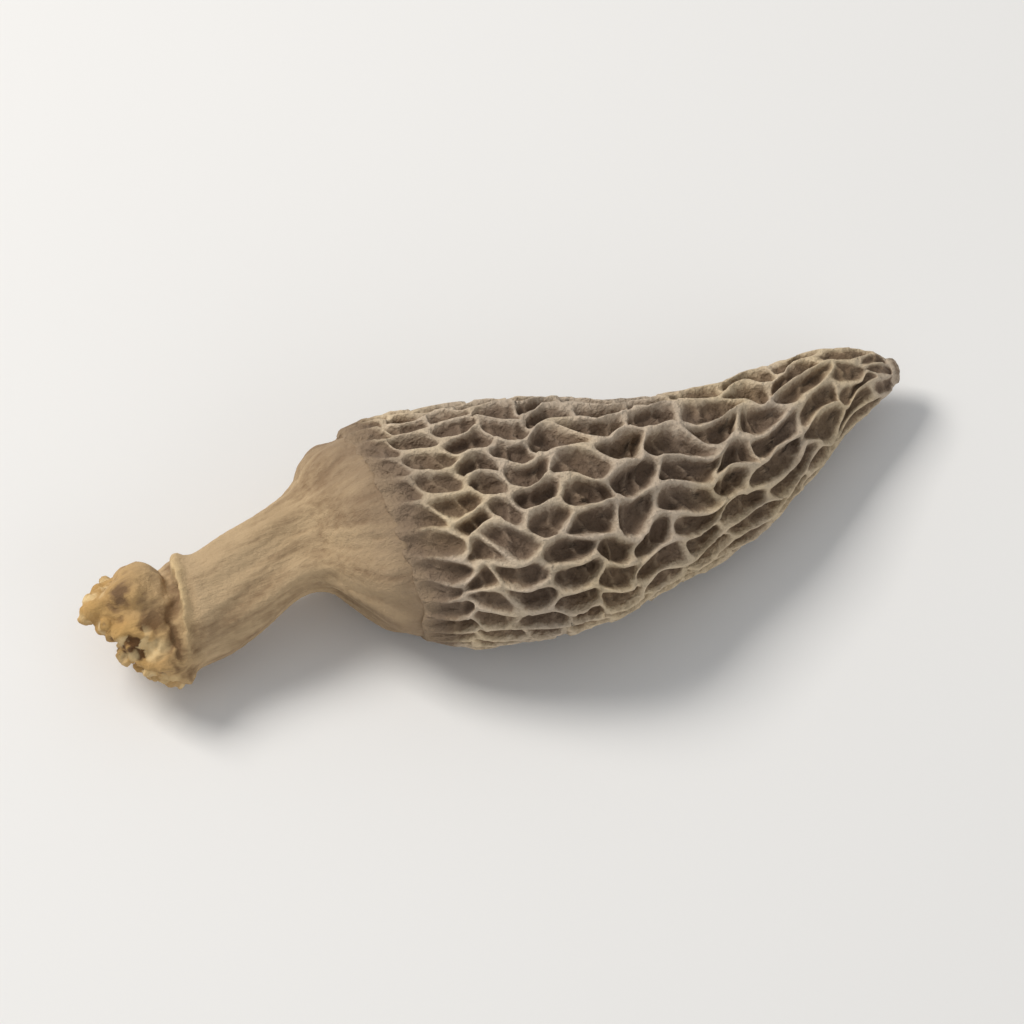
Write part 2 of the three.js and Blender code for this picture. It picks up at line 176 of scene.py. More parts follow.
# The hollow under the cap's rim that the stem's end stands in. Its share of the tucked hem is
# larger than its share of the plain outline.
SOCKET_SHARE = 0.82
SOCKET_SHARE_OF_HEM = 0.89
LIP_PLACE = 0.1
SOCKET_DEPTH = 1.3
GAP = 0.35

# The stem, as (distance from the cap's rim, size) pairs.
ROOT_END = -16.0
FLARE_END = -0.04
STEM_HALF_WIDTH = [
    (ROOT_END, 2.3), (-15.7, 2.9), (-15.1, 3.4), (-14.2, 3.7), (-12.6, 3.2), (-10.2, 3.1), (-7.9, 2.95),
    (-5.4, 2.7), (-3.9, 3.2), (-2.9, 4.5), (-1.6, 5.9), (FLARE_END, 6.5),
]
STEM_HALF_HEIGHT = [
    (ROOT_END, 1.8), (-15.7, 2.3), (-15.1, 2.7), (-14.0, 3.0), (-12, 2.6), (-8.6, 2.4), (-5.6, 2.4),
    (-3.9, 2.8), (-2.7, 3.6), (-1.4, 4.25), (FLARE_END, 4.55),
]
STEM_SIDEWAYS = [
    (ROOT_END, 1.2), (-14.5, 0.8), (-12, 0.8), (-10.2, 0.95), (-8, 1.3), (-5, 1.8), (-3.3, 1.5),
    (-1.5, 0.8), (FLARE_END, 0.5),
]
STEM_HEIGHT = [
    (ROOT_END, 2.9), (-14.5, 2.95), (-12, 3.4), (-8.6, 4.1), (-3.6, 4.7), (FLARE_END, 4.75),
]

# How far the root's end slants, in shares of a point's place across, up to a reach, and of its
# height, from the stem's middle line.
ROOT_SLANT = {"across": 0.33, "reach": 0.8, "up": 0.52}

# The stem's mesh: the rings along its tube and the points round it, the voxels that tube and lumps
# are fused in, and how far the result is softened.
STEM_STEPS = 130
STEM_SIDES = 130
STEM_VOXEL = 0.1
SOFTENED = {"factor": 0.5, "iterations": 4}

# Where along the stem a form starts to show, and where it is full.
ROOT_FADE = (-11, -16)
NECK_FADES = ((-13, -9), (-0.5, -4))
FLARE_FADES = ((-4.5, -1.5), (FLARE_END, -1.5))

# Waves on the skins, as (size, how many round, radians per millimetre along, start) for each.
CAP_DENTS = [(0.03, 2, 0.23, 0.6), (0.025, 3, -0.31, 2.1), (0.015, 5, 0.5, 0)]
NET_ALONG = [(0.3, 3, 0.8, 0)]
NET_ROUND = [(0.25, 2, 1.2, 2)]
CREST_ALONG = [(0.22, 7, -1.3, 1)]
CREST_ROUND = [(0.22, 5, 1.7, 0)]
STEM_FOLDS = [(0.09, 3, 0.35, 1), (0.05, 5, -0.2, 0), (0.035, 11, 0.3, 0.5)]
ROOT_LOBES = [(0.1, 4, 0, 2.4), (0.06, 9, 1.1, 0)]
FLARE_FOLDS = [(0.05, 8, 0, 1)]

# A fold round the stem just before the root and the crease beside it, as (middle, half length,
# rise), on the upper side only, which starts at that turn.
COLLAR = [(-11.4, 0.7, 0.13), (-12.4, 0.5, -0.1)]
COLLAR_TURN = -0.4

# The root's own lumps: one large knob, and crumbs and grit sunk in its torn edge.
KNOB = {"middle": (-14.3, 1.9, 5.2), "radius": 1.7, "seed": 4, "roughness": 0.25}
KNOB_FINENESS, CRUMB_FINENESS, GRIT_FINENESS = 4, 3, 2
CRUMBS = {
    "count": 15, "x": -14.9, "stray": (1.2, 0.6), "radius": 0.72, "spread": 0.7, "sunk": 0.22, "draws": 0,
}
GRIT = {
    "count": 30, "x": -15.5, "stray": (1.6, 3.0), "radius": 0.3, "spread": 1.0, "sunk": 0.02, "draws": 200,
}

# The torn fold that curls round the knob, and the hollow beside it, as (place along from the fold's
# line, half width, rise). The line leans as it goes round, and shows between two turns.
CURL = [(0, 0.26, 0.55), (-0.75, 0.4, -0.42)]
CURL_LINE = {"x": -10.85, "lean": -0.7}
CURL_FADES = ((0.0, 1.3), (3.0, 2.2))
CURL_GRAINS = [(0.4, 0.8, 41), (0.3, 0.3, 42)]
CURL_STRAYS = [(0.35, 0.9, 43)]
CURL_PALE = 1.1

# The torn lip round the root's end: how far it strays along, by which grains it does along and out,
# where it starts to, how thick it is, and how deep the end is sunk inside it.
LIP_STRAY = 0.75
LIP_GRAINS = [(1.0, 0.4, 21), (0.5, 0.15, 22)]
LIP_OUT_GRAINS = [(0.16, 0.22, 23)]
LIP_FADE = (-13.4, -15.4)
LIP_SHARE = 0.86
LIP_DEPTH = 0.9

# A lump's dents, as (size, radians per radius along x, y and z, share of the seed) for each, its
# grains, and how far past its skin it still counts as near, in radii.
LUMP_DENTS = [(0.09, 3, 4, 0, 1), (0.07, -3, 0, 5, 2)]
LUMP_GRAINS = [(0.3, 0.9, 51), (0.22, 0.45, 52)]
LUMP_EDGE = 0.5

# The stem's wrinkles. Their noise is drawn out along the stem and laid round a circle no wider than
# the first radius, and round the flare on the second. Creases are (strength, size, seed) too.
WRINKLE_STRETCH = 7
WRINKLE_RADIUS = 3.5
FAN_STRETCH = 3
FAN_RADIUS = 6.0
LEAST_RADIUS = 0.1
LONG_GRAINS = [(0.55, 1.4, 11)]
FINE_CREASES = (0.28, 0.6, 12)
FAN_CREASES = (0.4, 1.3, 13)
ROOT_CREASES = [(1.9, 1.6, 14), (1.0, 0.6, 15)]
PITTED_GRAINS = [(0.15, 0.3, 16)]
KNOB_SMOOTHNESS = 0.62

# How much a wrinkle and the hollow beside the knob change how raised the skin counts as, and so how much
# painted shade it takes.
WRINKLE_SHADE = 0.8
HOLLOW_SHADE = 2

# The part of a noise's range that most of it lies in.
NOISE_MIDDLE = (0.3, 0.7)

# The materials' noises: the size of their bumps in millimetres, their detail, and for some how rough
# or drawn out they are.
CAP_MOTTLE = {"size": 3.5, "detail": 3}
CAP_PATCHES = {"size": 6, "detail": 2}
CAP_SPECK = {"size": 0.35, "detail": 4, "roughness": 0.6}
CAP_BUMPS = {"size": 0.9, "detail": 3}
STEM_FIBRES = {"size": 0.4, "detail": 5, "stretch": (0.12, 1, 1), "roughness": 0.65}
STEM_MOTTLE = {"size": 2.6, "detail": 4}
STEM_SPECK = {"size": 0.2, "detail": 4, "roughness": 0.7}
FLOOR_MOTTLE = {"size": 40, "detail": 2}

# How far a noise strays the borders between the materials' colours, in the borders' own units.
HEIGHT_STRAY = 0.18
RIM_STRAY = 0.9
RAISED_STRAY = 0.22
FLARE_STRAY = 0.7

# Where one colour turns into the next, as (start, end) or (start, end, share there, share there), in
# the net's height, how raised the skin is, a noise, or millimetres from the rim.
PIT_TO_WALL = (0.05, 0.6)
WALL_TO_CREST = (0.52, 0.97)
AGED_PATCHES = (0.42, 0.62)
BROWN_TO_TAN = (1.2, -0.2)
RIM_SHARE = (2.6, 0.3, 0.0, 0.75)
# From the painted shade in the stem's creases and hollows to its plain skin, by how raised the skin is.
SHADE_TO_SKIN = (0.1, 0.6)
CRUMBLY = (0.25, 0.6, 0.25, 0.9)
# The flare's darkening towards the cap, partly its own tone and partly painted shade.
FLARE_SHARE = (-3.6, 0.2, 0.0, 0.8)

# How much the knob is rubbed back to plain skin, the specks' share in the stem's bumps, and how much
# lighter the floor's mottle is.
RUBBED_KNOB = 0.2
SPECK_SHARE = 0.6
FLOOR_LIGHTER = 1.02

# How dull each surface is, and how deep its bumps are in millimetres.
CAP_DULLNESS, CAP_BUMP = 0.86, 0.3
STEM_DULLNESS, STEM_BUMP = 0.82, 0.16
FLOOR_DULLNESS = 0.7

# Tints that a colour is multiplied by, and colours besides those in the settings.
MOTTLE_DARK = (0.74, 0.74, 0.74)
MOTTLE_LIGHT = (1.22, 1.2, 1.16)
AGED_TINT = (1.14, 1.12, 0.98)
RIM_BROWN = (0.22, 0.155, 0.103)
RIM_TAN = (0.33, 0.235, 0.145)
STAIN_DARK = (0.74, 0.7, 0.64)
STAIN_LIGHT = (1.2, 1.2, 1.2)
# The painted shade in the root's crevices and under its torn lip, darker than in the stem's creases.
ROOT_CREVICE_SHADE = (0.125, 0.067, 0.028)
ROOT_GOLD = (1.0, 0.84, 0.5)
# Browner towards the cap: partly the flare's own tone and partly painted shade where the stem meets the
# cap.
FLARE_BROWN_AND_SHADE = (0.26, 0.18, 0.112)

# The studio, in metres and watts. A light stands towards a place right, up and back in the picture.
KEY_LIGHT = {
    "name": "key", "towards": (-0.7, 0.75, 0.55), "distance": 0.4, "size": 0.16, "power": 1.25,
    "colour": (1.0, 0.97, 0.93),
}
FILL_LIGHT = {
    "name": "fill", "towards": (0.8, -0.5, 0.8), "distance": 0.5, "size": 0.4, "power": 0.5,
    "colour": (0.96, 0.98, 1.0),
}
SKY_COLOUR = (0.95, 0.97, 1.0, 1)
SKY_STRENGTH = 0.45
FLOOR_HALF_WIDTH = 1.0
NEAREST_SEEN = 0.01

# How near two places of the unrolled net count as one, and as on an edge of it.
SAME_PLACE = 1e-5
ON_EDGE = 1e-7

# The step and size of the sine that the fixed draws are made with, how many are kept for one pit's
# ribs, and where each use of them starts to count.
SCATTER_STEP = 12.9898
SCATTER_SIZE = 43758.5453
RIB_DRAWS = 3
DRAWS = {
    "pit_along": 1, "pit_round": 1001, "pit_depth": 500, "rib": 3001,
    "lump_along": 30, "lump_round": 70, "lump_size": 50,
}


class MorelCapSettings(bpy.types.PropertyGroup):
    """The sizes and colours of the cap that a user would change."""

    ridge_width: FloatProperty(
        name="Ridge Width",
        description="How far a ridge's side reaches out from the line of its crest",
        default=0.24 * MM,
        unit="LENGTH",
    )
    cross_drop: FloatProperty(
        name="Cross Ridge Drop",
        description="How much lower a ridge is that runs round the cap, as a share of its pits' depth",
        default=0.5,
        subtype="FACTOR",
    )
    # The net's colours, from the worn crests down the walls to the pit floors, whose dark is partly their
    # own tone and partly painted shade in the recesses.
    crest_colour: FloatVectorProperty(
        name="Crest",
        description="The worn crests of the net",
        default=(0.56, 0.455, 0.345),
        subtype="COLOR",
    )
    wall_colour: FloatVectorProperty(
        name="Wall",
        description="The sides of the ridges",
        default=(0.26, 0.187, 0.128),
        subtype="COLOR",
    )
    pit_tone_and_shade: FloatVectorProperty(
        name="Pit",
        description="The floors of the pits",
        default=(0.15, 0.1, 0.065),
        subtype="COLOR",
    )


class MorelStemSettings(bpy.types.PropertyGroup):
    """The sizes and colours of the stem that a user would change."""

    wrinkle_depth: FloatProperty(
        name="Wrinkle Depth",
        description="How deep the long wrinkles of the stem are",
        default=0.16 * MM,
        unit="LENGTH",
    )
    skin_colour: FloatVectorProperty(
        name="Skin",
        description="The stem's dry skin",
        default=(0.5, 0.36, 0.208),
        subtype="COLOR",
    )
    # The bottoms of the wrinkles, painted with shade.
    crease_shade_colour: FloatVectorProperty(
        name="Crease",
        description="The bottoms of the wrinkles",
        default=(0.27, 0.175, 0.092),
        subtype="COLOR",
    )
    torn_colour: FloatVectorProperty(
        name="Torn Root",
        description="The pale crumbs round the torn root",
        default=(0.76, 0.56, 0.285),
        subtype="COLOR",
    )


class MorelStageSettings(bpy.types.PropertyGroup):
    """The floor, light and camera."""

    floor_colour: FloatVectorProperty(
        name="Floor",
        description="The floor that the morel lies on",
        default=(0.8, 0.79, 0.77),
        subtype="COLOR",
    )
    azimuth: FloatProperty(
        name="Azimuth",
        description="The camera's place round the morel, where 0 looks along +Y",
        default=math.radians(-23),
        subtype="ANGLE",
    )
    elevation: FloatProperty(
        name="Elevation",
        description="The camera's height over the floor, as an angle",
        default=math.radians(58),
        subtype="ANGLE",
    )
    distance: FloatProperty(
        name="Distance",
        description="How far the camera is from the morel's middle",
        default=0.34,
        unit="LENGTH",
    )
    view_width: FloatProperty(
        name="View Width",
        description="How wide the picture is at the morel's middle",
        default=0.057,
        unit="LENGTH",
    )


def through(pairs, x):
    """The value at x of a smooth curve through (x, value) pairs."""
    xs, ys = np.array(pairs, float).T
    places = np.arange(len(xs))
    before = np.maximum(places - 1, 0)
    after = np.minimum(places + 1, len(xs) - 1)
    slopes = (ys[after] - ys[before]) / (xs[after] - xs[before])
    here = np.clip(x, xs[0], xs[-1])
    i = np.clip(np.searchsorted(xs, here) - 1, 0, len(xs) - 2)
    span = xs[i + 1] - xs[i]
    t = (here - xs[i]) / span
    near = (1 + 2 * t) * (1 - t) ** 2 * ys[i] + t * (1 - t) ** 2 * span * slopes[i]
    far = t * t * (3 - 2 * t) * ys[i + 1] + t * t * (t - 1) * span * slopes[i + 1]
    return near + far


def scatter(k):
    """A fixed draw from -0.5 to 0.5 for each whole number."""
    x = math.sin(k * SCATTER_STEP) * SCATTER_SIZE
    return x - math.floor(x) - 0.5


def smooth_step(start, end, x):
    t = np.clip((x - start) / (end - start), 0, 1)
    return t * t * (3 - 2 * t)


def waves(rows, turn, x):
    """The sum of a list of waves at a turn and a place along."""
    return sum(size * np.sin(count * turn + rate * x + start) for size, count, rate, start in rows)


def grain(points, size, seed):
    """Smooth noise, about -1 to 1, at each of the points, with bumps of that size."""
    shift = Vector((17.3, 5.1, 9.7)) * seed
    return np.array([noise.noise(Vector(point) / size + shift) for point in points])


def grains(rows, points):
    """The sum of a list of grains at each of the points."""
    return sum(strength * grain(points, size, seed) for strength, size, seed in rows)


def creases(points, strength, size, seed):
    """Noise from minus half the strength on a crease's line to about plus half between the lines."""
    return strength * (np.abs(grain(points, size, seed)) * 2 - 0.5)


def frame_shift():
    """How far the drawing's zero is from the frame's, in millimetres, found at the tip of the cap."""
    tip = max((vertex.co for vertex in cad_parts["cap"].data.vertices), key=lambda co: co.x)
    drawn = cap_middle(np.array([CAP_LENGTH]))[0] + (CAP_POINT, 0, 0)
    return np.array(tip) / MM - drawn


def settle(points):
    """Moves drawn points to their place in the frame, none of them below the surface."""
    placed = points + frame_shift()
    placed[:, 2] = np.maximum(placed[:, 2], 0)
    return placed


def add_object(name, points, faces, values):
    """A smooth mesh object from points in millimetres, with a named value for each vertex."""
    mesh = bpy.data.meshes.new(name)
    mesh.from_pydata(points * MM, [], faces)
    for key, value in values.items():
        mesh.attributes.new(key, "FLOAT", "POINT").data.foreach_set("value", value)
    mesh.shade_smooth()
    piece = bpy.data.objects.new(name, mesh)
    bpy.context.scene.collection.objects.link(piece)
    return piece


class Skin:
    """Collects vertices, each a row of values, and triangles. Rows with the same key are one."""

    def __init__(self):
        self.rows = []
        self.faces = []
        self.keys = {}

    def add(self, row):
        self.rows.append(row)
        return len(self.rows) - 1

    def shared(self, key, row):
        if key not in self.keys:
            self.keys[key] = self.add(row)
        return self.keys[key]

    def band(self, outer, inner):
        """Joins two rings of as many vertices."""
        for i, (a, b) in enumerate(zip(outer, inner)):
            c, d = outer[(i + 1) % len(outer)], inner[(i + 1) % len(inner)]
            self.faces += [(a, c, d), (a, d, b)]

    def fan(self, ring, middle):
        """Joins a ring to one vertex."""
        self.faces += [(a, ring[(i + 1) % len(ring)], middle) for i, a in enumerate(ring)]

    def whole_faces(self):
        return [face for face in self.faces if len(set(face)) == len(face)]


# The cap

def cap_radius(u):
    """How wide the cap is all round, on average, for spacing the pits."""
    return np.hypot(through(CAP_HALF_WIDTH, u), through(CAP_HALF_HEIGHT, u)) / math.sqrt(2)


def cap_middle(u):
    """The points on the cap's middle line, u along it from the rim."""
    height = through(CAP_HALF_HEIGHT, u) - PRESSED + through(CAP_LIFT, u)
    return np.stack([u, through(CAP_SIDEWAYS, u), height], axis=1)


def cap_outline(u, turn):
    """The points of the cap's smooth outline, u along it from the rim and turn round it."""
    swell = 1 + waves(CAP_DENTS, turn, u) * smooth_step(0, FREE_LENGTH, u)
    across = through(CAP_HALF_WIDTH, u) * swell * np.cos(turn)
    up = through(CAP_HALF_HEIGHT, u) * swell * np.sin(turn)
    return cap_middle(u) + np.stack([np.zeros_like(u), across, up], axis=1)


def cap_inward(u, turn, step=0.01):
    """The directions into the cap from its outline."""
    along = cap_outline(u + step, turn) - cap_outline(u - step, turn)
    around = cap_outline(u, turn + step) - cap_outline(u, turn - step)
    inward = np.cross(along, around)
    return inward / np.linalg.norm(inward, axis=1, keepdims=True)


class Unrolled:
    """The cap unrolled, so that a step of reach beside an equal turn makes a pit of the stated
    stretch."""

    def __init__(self, steps=600):
        self.us = np.linspace(0, CAP_LENGTH, steps + 1)
        middles = (self.us[1:] + self.us[:-1]) / 2
        rates = 1 / (through(PIT_STRETCH, middles) * cap_radius(middles))
        self.reaches = np.concatenate([[0], np.cumsum(rates * CAP_LENGTH / steps)])
        self.end = self.reaches[-1]

    def reach(self, u):
        return np.interp(u, self.us, self.reaches)

    def u_at(self, reach):
        return np.interp(reach, self.reaches, self.us)


def pit_middles(unrolled):
    """The middles of the pits, in staggered rows from rim to tip, as (reach, turn)."""
    middles = []
    u, row = FIRST_ROW, 0
    while u < CAP_LENGTH - LAST_ROW:
        width = through(PIT_WIDTH, u)
        row_step = width * through(PIT_STRETCH, u) * ROW_SHARE
        count = round(float(TURN * cap_radius(u) / width))
        for j in range(count):
            k = len(middles)
            along = u + PIT_STRAY * row_step * scatter(k + DRAWS["pit_along"])
            at = min(max(along, FIRST_ROW / 2), CAP_LENGTH - LAST_ROW / 2)
            around = j + row / 2 + PIT_STRAY * scatter(k + DRAWS["pit_round"])
            middles.append((unrolled.reach(at), TURN * around / count))
        u += row_step
        row += 1
    return np.array(middles)


def nearer_to(polygon, a, b):
    """The part of a polygon that lies nearer to middle a than to middle b."""
    past = (np.array(polygon) - (a + b) / 2) @ (b - a)
    kept = []
    for i, point in enumerate(polygon):
        j = (i + 1) % len(polygon)
        if past[i] <= 0:
            kept.append(point)
        if past[i] * past[j] < 0:
            share = past[i] / (past[i] - past[j])
            kept.append(point + share * (polygon[j] - point))
    return kept


def pit_polygons(unrolled):
    """Each pit's polygon: all that lies nearer to its middle than to any other."""
    middles = pit_middles(unrolled)
    copies = np.concatenate([middles + (0, turns * TURN) for turns in (-2, -1, 0, 1, 2)])
    polygons = []
    for a in middles:
        apart = np.linalg.norm(copies - a, axis=1)
        order = np.argsort(apart, kind="stable")
        near = copies[order[apart[order] > ON_EDGE][:NEIGHBOURS]]
        start, end = a[1] - POLYGON_REACH, a[1] + POLYGON_REACH
        corners = ((0, start), (0, end), (unrolled.end, end), (unrolled.end, start))
        polygon = [np.array(corner) for corner in corners]
        for b in near:
            polygon = nearer_to(polygon, a, b)
        polygons.append(polygon)
    return polygons


class Pit:
    """One pit of the net, with what its rings of vertices are worked out from."""

    def __init__(self, unrolled, polygon, k):
        self.corners = np.array(polygon)
        self.middle = self.corners.mean(axis=0)
        self.u = float(unrolled.u_at(self.middle[0]))
        self.scale = cap_radius(self.u) * np.array([float(through(PIT_STRETCH, self.u)), 1])
        flat = (self.corners - self.middle) * self.scale
        steps = np.roll(flat, -1, axis=0) - flat
        lengths = np.linalg.norm(steps, axis=1)
        self.sides = np.stack([-steps[:, 1], steps[:, 0]], axis=1) / lengths[:, None]
        self.apart = (flat * self.sides).sum(axis=1)
        self.spread = min(1, WALL_SHARE * self.apart.min() / WALL_END)
        stray = 1 + DEPTH_SPREAD * scatter(k + DRAWS["pit_depth"])
        self.depth = float(through(PIT_DEPTH, self.u)) * stray * self.spread
        reach = np.abs(flat[:, 0]).max()
        count = max(0, round(2 * reach / RIB_STEP) - 1)
        strays = [RIB_STRAY * scatter(RIB_DRAWS * k + i + DRAWS["rib"]) for i in range(count)]
        self.ribs = [RIB_STEP * (i - (count - 1) / 2 + stray) for i, stray in enumerate(strays)]

    def share_inside(self, points, away):
        """The share of the way to points on the polygon that stays away from all its sides."""
        towards = np.clip((points - self.middle) * self.scale @ self.sides.T, 0, None)
        total = ((towards / (self.apart - away * self.spread)) ** CORNER_POWER).sum(axis=1)
        return np.minimum(total ** (-1 / CORNER_POWER), 1 - LEAST_STEP * away)

    def rib(self, places):
        """How much of a rib across the floor there is at the places, from 0 to 1."""
        along, around = ((places - self.middle) * self.scale).T
        bent = along + RIB_BEND * np.sin(RIB_BENDS * around + self.u)
        return sum((np.exp(-(((bent - rib) / RIB_WIDTH) ** 2)) for rib in self.ribs), 0 * along)


def side_points(unrolled, start, end):
    """The points along one side of a pit, with how much a ridge there runs round the cap and sags."""
    u = unrolled.u_at((start[0] + end[0]) / 2)
    along, around = (end - start) * (float(through(PIT_STRETCH, u)), 1) * cap_radius(u)
    length = math.hypot(along, around)
    count = max(1, round(length / CREST_SEGMENT))
    shares = np.arange(count) / count
    across = (around / max(length, ON_EDGE)) ** 2
    return start + (end - start) * shares[:, None], across * 4 * shares * (1 - shares)


def turn_key(turn):
    """A whole number for a turn, the same for turns that differ by full ones."""
    return round((turn - TURN * math.floor(turn / TURN + ON_EDGE)) / SAME_PLACE)


def add_pit(skin, unrolled, pit, rim, tip):
    """Adds a pit's rings, from the crests shared with its neighbours down to the middle of its
    floor. A row holds the reach, the turn, how far from the crest, the depth, the crest's sag and
    the floor's rib."""
    corners = pit.corners
    sides = [
        side_points(unrolled, corner, corners[(i + 1) % len(corners)])
        for i, corner in enumerate(corners)
    ]
    points = np.concatenate([side[0] for side in sides])
    sags = np.concatenate([side[1] for side in sides])
    ring = []
    for (reach, turn), sag in zip(points, sags):
        around = turn_key(turn)
        vertex = skin.shared((round(reach / SAME_PLACE), around), (reach, turn, 0, pit.depth, sag, 0))
        ring.append(vertex)
        if reach < ON_EDGE:
            rim[around] = vertex
        if reach > unrolled.end - ON_EDGE:
            tip[around] = vertex
    last = RING_PLACES[-1]
    steps = [(away, pit.share_inside(points, away)) for away in RING_PLACES]
    steps += [(last + 1 - share, steps[-1][1] * share) for share in FLOOR_SHARES]
    for away, shares in steps:
        places = pit.middle + (points - pit.middle) * shares[:, None]
        ribs = pit.rib(places)
        lower = [
            skin.add((*place, away, pit.depth, sag, rib)) for place, sag, rib in zip(places, sags, ribs)
        ]
        skin.band(ring, lower)
        ring = lower
    rib = pit.rib(pit.middle[None])[0]
    skin.fan(ring, skin.add((*pit.middle, last + 1, pit.depth, 0, rib)))


def cap_net():
    """The net's skin, with the rings of vertices on its rim and round its tip."""
    unrolled = Unrolled()
    skin, rim, tip = Skin(), {}, {}
    for k, polygon in enumerate(pit_polygons(unrolled)):
        add_pit(skin, unrolled, Pit(unrolled, polygon, k), rim, tip)
    rows = np.array(skin.rows)
    rows[:, 0] = unrolled.u_at(rows[:, 0])
    return skin, rows, [rim[key] for key in sorted(rim)], [tip[key] for key in sorted(tip)]


def hem_tuck(u, turn):
    """How far the hem is tucked in from the cap's outline, all but down to the stem's skin."""
    wide = (CAP_HALF_WIDTH[0][1] - STEM_HALF_WIDTH[-1][1]) * np.cos(turn)
    high = (CAP_HALF_HEIGHT[0][1] - STEM_HALF_HEIGHT[-1][1]) * np.sin(turn)
    from_rim = 1 - np.clip(u / HEM_LENGTH, 0, 1)
    return HEM_TUCK * np.hypot(wide, high) * (1 - np.sqrt(1 - from_rim ** 2))


def cap_points(rows, settings):
    """The net's vertices wrapped round the cap, and how high each stands, from 0 on a pit's floor
    to 1 on a crest."""
    u, turn, away, depth, sag, rib = rows.T
    plain = cap_outline(u, turn)
    local = through(PIT_DEPTH, u)
    width = settings.ridge_width / MM * (1 + grains(RIDGE_WIDTH_GRAINS, plain))
    fall = 1 - np.exp(-((away / width) ** WALL_POWER))
    sagging = settings.cross_drop * sag * (MEAN_SAG + grains(SAG_GRAINS, plain))
    crest = local * (np.maximum(sagging, 0) + MEAN_WEAR + grains(WEAR_GRAINS, plain))
    ribbed = 1 - RIB_RISE * rib * (1 + grains(RIB_GRAINS, plain))
    floor = np.maximum(depth, crest) * ribbed
    sunk = crest + (floor - crest) * fall * smooth_step(*PITS_OPEN, u)
    darkness = LEAST_DARK + (1 - LEAST_DARK) * smooth_step(*PITS_DARK, u)
    # The colour's height: low on the pits' floors, where their colour carries painted shade, raised on the
    # ribs, and held down near the rim.
    height = (1 - fall * (1 - RIB_PALE * rib)) * darkness

    free = smooth_step(0, FREE_LENGTH, u) * smooth_step(CAP_LENGTH, CAP_LENGTH - FREE_LENGTH, u)
    proud = 1 - np.minimum(sunk / local, 1)
    sway = LEAST_SWAY + (1 - LEAST_SWAY) * proud
    along = waves(NET_ALONG, turn, u) + proud * waves(CREST_ALONG, turn, u)
    along += sway * grains(ALONG_GRAINS, plain) + height * grains(FINE_ALONG_GRAINS, plain)
    around = waves(NET_ROUND, turn, u) + proud * waves(CREST_ROUND, turn, u)
    around += sway * grains(ROUND_GRAINS, plain) + height * grains(FINE_ROUND_GRAINS, plain)
    hem = HEM_LAP * (1 + grains(HEM_GRAINS, plain)) * (1 - smooth_step(0, HEM_LENGTH, u))
    a, t = u + free * along - hem, turn + free * around / cap_radius(u)

    rough = fall * creases(plain, *FLOOR_CREASES) + grains(FLOOR_GRAINS, plain)
    rough = rough * smooth_step(*ROUGH_FROM, u)
    tip_tuck = TIP_TUCK * np.clip(1 + (u - CAP_LENGTH) / TIP_LENGTH, 0, 1) ** 2
    sunk = sunk - rough + hem_tuck(u, turn) + tip_tuck
    return cap_outline(a, t) + cap_inward(a, t) * sunk[:, None], height


def close_rim(skin, points, ring):
    """Adds the flat lip inside the rim and the hollow's wall and floor, and returns their points."""
    middle = cap_middle(np.array([0.0]))[0]
    inner = middle + (points[ring] - middle) * SOCKET_SHARE_OF_HEM
    first = len(points)
    rings = [list(range(first + i * len(ring), first + (i + 1) * len(ring))) for i in range(2)]
    skin.band(ring, rings[0])
    skin.band(rings[0], rings[1])
    skin.fan(rings[1], first + 2 * len(ring))
    lip, floor = inner.copy(), inner.copy()
    lip[:, 0] = LIP_PLACE
    floor[:, 0] = SOCKET_DEPTH
    return np.concatenate([points, lip, floor, [(SOCKET_DEPTH, middle[1], middle[2])]])


def close_tip(skin, points, ring):
    """Adds a small round point over the tip's ring, and returns its points."""
    middle = cap_middle(np.array([CAP_LENGTH]))[0]
    outer = ring
    for angle in TIP_ANGLES:
        inner = list(range(len(points), len(points) + len(ring)))
        skin.band(outer, inner)
        added = middle + (points[ring] - middle) * math.cos(angle)
        added[:, 0] = CAP_LENGTH + CAP_POINT * math.sin(angle)
        points = np.concatenate([points, added])
        outer = inner
    skin.fan(outer, len(points))
    return np.concatenate([points, [middle + (CAP_POINT, 0, 0)]])


def build_cap(settings):
    skin, rows, rim, tip = cap_net()
    points, height = cap_points(rows, settings)
    points = close_rim(skin, points, rim[::-1])
    points = close_tip(skin, points, tip)
    at_tip = smooth_step(CAP_LENGTH - TIP_WEAR_LENGTH, CAP_LENGTH, points[:, 0])
    points[:, 1] += TIP_ROUGHNESS * grains(TIP_ACROSS_GRAINS, points) * at_tip
    points[:, 2] += TIP_ROUGHNESS * grains(TIP_UP_GRAINS, points) * at_tip
    points[:, 0] -= TIP_WEAR * (1 + grains(TIP_GRAINS, points)) * at_tip
    ends = TIP_HEIGHT + grains(TIP_TONES, points[len(height):])
    height = np.concatenate([height, ends])
    values = {"height": height, "from_rim": points[:, 0]}
    return add_object("cap_net", settle(points), skin.whole_faces(), values)


# The stem

def stem_middle(x):
    return np.stack([x, through(STEM_SIDEWAYS, x), through(STEM_HEIGHT, x)], axis=1)


def stem_fades(x):
    """How much of the root, the neck and the flare shows at each place along the stem."""
    root = smooth_step(*ROOT_FADE, x)
    neck, flare = (
        smooth_step(*rise, x) * smooth_step(*fall, x) for rise, fall in (NECK_FADES, FLARE_FADES)
    )
    return root, neck, flare


